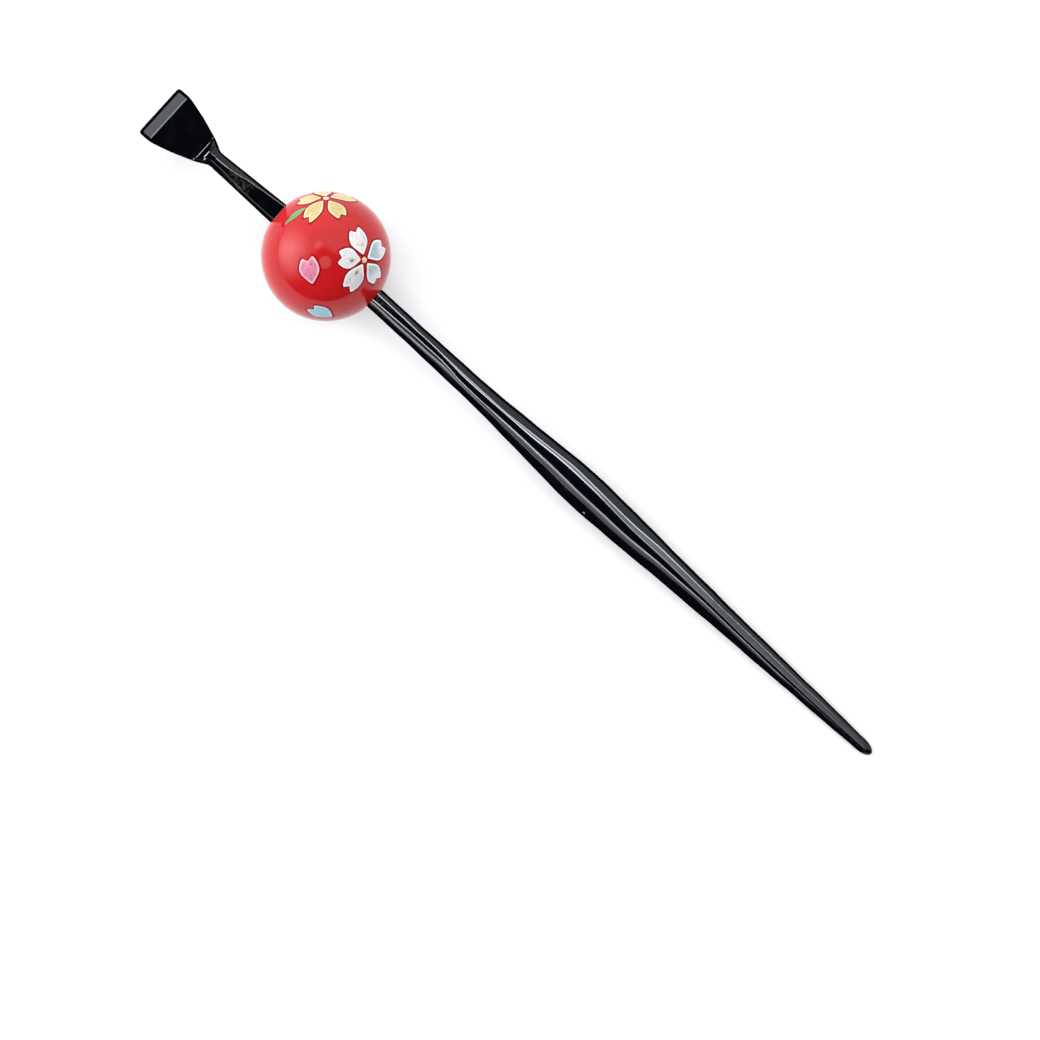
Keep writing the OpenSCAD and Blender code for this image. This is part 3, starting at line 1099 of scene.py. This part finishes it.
TABLE_HALF = 3.0
SOFTBOX_AT = Vector((0.02, 0.11, 1.5))
SOFTBOX_SIZE = 1.6
SOFTBOX_RADIANCE = 2.4
FILL_AT = Vector((0, 0, 1.5))
FILL_SIZE = 4
FILL_RADIANCE = 0.14

WALL_RADIANCE = 1.62
WINDOW_RADIANCE = 5.4
WINDOW_ELEVATION = 26
WINDOW_FOCUS = 8.5
DARK_RADIANCE = 0.014
MATT_LOSS = 0.5


def build_table():
    corners = ((-1, -1), (1, -1), (1, 1), (-1, 1))
    points = [(x * TABLE_HALF, y * TABLE_HALF, 0) for x, y in corners]
    mesh = new_mesh("table_shape", points, [(0, 1, 2, 3)])
    table = put_in_scene("table", mesh)
    mesh.materials.append(floor_paint())
    return table


def area_light(name, at, size_x, size_y, radiance, shape="RECTANGLE"):
    """A soft light at a place, turned to look at the X axis."""
    light = bpy.data.lights.new(name, "AREA")
    light.shape = shape
    light.size, light.size_y = size_x, size_y
    area = size_x * size_y * (math.pi / 4 if shape == "ELLIPSE" else 1)
    light.energy = radiance * area * math.pi
    lamp = put_in_scene(name, light)
    back = Vector((0, at.y, at.z)).normalized()
    across = Vector((1, 0, 0))
    turned = Matrix((across, back.cross(across), back)).transposed().to_4x4()
    lamp.matrix_world = Matrix.Translation(at) @ turned
    lamp.visible_camera = False
    return lamp


def build_world():
    """A studio seen from the table: dark overhead, a pale wall on the picture's upper side, and a
    large soft window low on its left."""
    world = bpy.data.worlds.new("studio")
    bpy.context.scene.world = world
    world.use_nodes = True
    sky = Graph(world.node_tree)
    direction = sky.node("ShaderNodeTexCoord").outputs["Generated"]

    def facing(toward):
        inputs = {0: direction, 1: toward.normalized()}
        return sky.node("ShaderNodeVectorMath", inputs, operation="DOT_PRODUCT").outputs["Value"]

    low_band = sky.math("SUBTRACT", 1.0, sky.ranged(facing(OVERHEAD), 0.95, 1.0))
    wall = sky.ranged(facing(UP), -0.10, 0.22, 0, WALL_RADIANCE)
    wall = sky.math("MULTIPLY", wall, low_band)
    elevation = math.radians(WINDOW_ELEVATION)
    level = (UP * 0.04 - RIGHT).normalized()
    toward_window = facing(level * math.cos(elevation) + OVERHEAD * math.sin(elevation))
    window = sky.math("POWER", sky.math("MAXIMUM", toward_window, 0.0), WINDOW_FOCUS)
    window = sky.math("MULTIPLY", window, WINDOW_RADIANCE)
    window = sky.math("MULTIPLY", window, sky.ranged(toward_window, 0.62, 0.84))
    # a part of both is kept from matt surfaces, or they would outshine the softbox
    matt = sky.node("ShaderNodeLightPath").outputs["Is Diffuse Ray"]
    kept = sky.math("SUBTRACT", 1.0, sky.math("MULTIPLY", matt, MATT_LOSS))
    total = sky.math("MULTIPLY", sky.math("ADD", wall, window), kept)
    total = sky.math("ADD", total, DARK_RADIANCE)
    background = sky.nodes["Background"]
    sky.put(total, background.inputs["Strength"])
    sky.put((1, 1, 1), background.inputs["Color"])


# Strip lights that only the stick reflects, so that its facets read as in the picture. side:
# towards +Y or -Y. tilt: degrees from overhead. start: of the first part, along X. Each other part
# starts where the one before it ends.
Strip = namedtuple("Strip", "name side tilt width start parts")
# reflected_by: the piece that shows this part, or the whole stick. end: along X.
Part = namedtuple("Part", "reflected_by end radiance")
STRIPS = [
    Strip("far", 1, 40, 0.16, -0.55, [
        Part("stick", 0.235, 10), Part("leg", 0.262, 7), Part("leg", 0.31, 5.6),
        Part("leg", 0.70, 2.6)]),
    Strip("far_high", 1, 24, 0.22, -0.55, [
        Part("stick", 0.07, 38), Part("leg", 0.19, 52), Part("leg", 0.25, 38),
        Part("leg", 0.30, 17), Part("leg", 0.37, 11)]),
    Strip("far_low", 1, 57, 0.22, -0.55, [Part("leg", 0.29, 34), Part("leg", 0.34, 8)]),
    Strip("near", -1, 40, 0.14, -0.55, [Part("stick", 0.07, 3.9), Part("leg", 0.32, 3.9)]),
    Strip("near_mid", -1, 32, 0.11, -0.55, [Part("stick", 0.07, 8), Part("leg", 0.32, 8)]),
    Strip("near_side", -1, 53, 0.15, -0.03, [Part("leg", 0.062, 5), Part("leg", 0.143, 1)]),
    Strip("near_high", -1, 22, 0.19, -0.55, [
        Part("stick", 0.07, 17), Part("leg", 0.13, 42), Part("leg", 0.29, 20),
        Part("leg", 0.345, 32), Part("leg", 0.365, 14)]),
    Strip("near_low", -1, 64, 0.15, -0.03, [
        Part("leg", 0.118, 17), Part("leg", 0.145, 12), Part("leg", 0.30, 7)]),
    Strip("near_lower", -1, 72.2, 0.10, -0.03, [Part("leg", 0.118, 4.2), Part("leg", 0.30, 3)]),
]
STRIP_DISTANCE = 0.9

# Smaller lights. reflected_by: the one piece that shows them. shape: a kind of area light. x, y
# and z: where the middle is.
Glint = namedtuple("Glint", "name reflected_by shape x y z size_x size_y radiance")
GLINTS = [
    Glint("hollow", "head", "RECTANGLE", 0.345, 0.00, 0.85, 0.10, 0.09, 58),
    Glint("hollow_far", "head", "RECTANGLE", 0.60, 0.72, 0.72, 0.40, 0.35, 7),
    Glint("hollow_near", "head", "RECTANGLE", 0.75, -0.92, 0.72, 0.50, 0.50, 20),
    Glint("bevel_ridge", "head", "RECTANGLE", -0.36, 0.00, 0.85, 0.30, 0.50, 13),
    Glint("bevel", "head", "RECTANGLE", -0.90, 0.00, 0.85, 0.60, 0.60, 3.2),
    Glint("round_lamp", "ball", "ELLIPSE", 0.19, -0.175, 1.00, 0.40, 0.40, 1.9),
    Glint("far_lamp", "ball", "ELLIPSE", -0.36, 0.09, 1.00, 0.26, 0.26, 1.3),
]


def build_lights(head, leg, ball, table):
    members = {"stick": (head, leg), "head": (head,), "leg": (leg,), "ball": (ball,), "table": (table,)}
    groups = {}
    for name, pieces in members.items():
        groups[name] = bpy.data.collections.new("lit_" + name)
        bpy.context.scene.collection.children.link(groups[name])
        for piece in pieces:
            groups[name].objects.link(piece)
    softbox = area_light("softbox_above", SOFTBOX_AT, SOFTBOX_SIZE, SOFTBOX_SIZE, SOFTBOX_RADIANCE)
    softbox.visible_glossy = False
    # a little light on the table alone, without a shadow, keeps the other shadows pale
    fill = area_light("table_fill", FILL_AT, FILL_SIZE, FILL_SIZE, FILL_RADIANCE)
    fill.data.use_shadow = False
    fill.visible_glossy = False
    fill.light_linking.receiver_collection = groups["table"]
    lamps = []
    for strip in STRIPS:
        angle = math.radians(strip.tilt)
        y, z = strip.side * STRIP_DISTANCE * math.sin(angle), STRIP_DISTANCE * math.cos(angle)
        start = strip.start
        for i, part in enumerate(strip.parts, 1):
            name, at = "strip_%s_%d" % (strip.name, i), Vector(((start + part.end) / 2, y, z))
            lamp = area_light(name, at, part.end - start, strip.width, part.radiance)
            lamps.append((lamp, part.reflected_by))
            start = part.end
    for row in GLINTS:
        at = Vector((row.x, row.y, row.z))
        lamp = area_light("glint_" + row.name, at, row.size_x, row.size_y, row.radiance, row.shape)
        lamps.append((lamp, row.reflected_by))
    for lamp, reflected_by in lamps:
        lamp.visible_diffuse = False
        lamp.light_linking.receiver_collection = groups[reflected_by]


def build_camera():
    data = bpy.data.cameras.new("camera")
    data.lens = CAMERA_LENS
    data.sensor_width = SENSOR
    data.clip_end = 20
    camera = put_in_scene("camera", data)
    camera.location = CAMERA_AT
    camera.rotation_euler = (0, 0, CAMERA_TURN)
    bpy.context.scene.camera = camera


build_camera()
table = build_table()
leg, head = build_stick()
ball = build_ball()
build_blossoms()
build_world()
build_lights(head, leg, ball, table)
bpy.context.scene.view_settings.view_transform = "Standard"
bpy.context.view_layer.update()
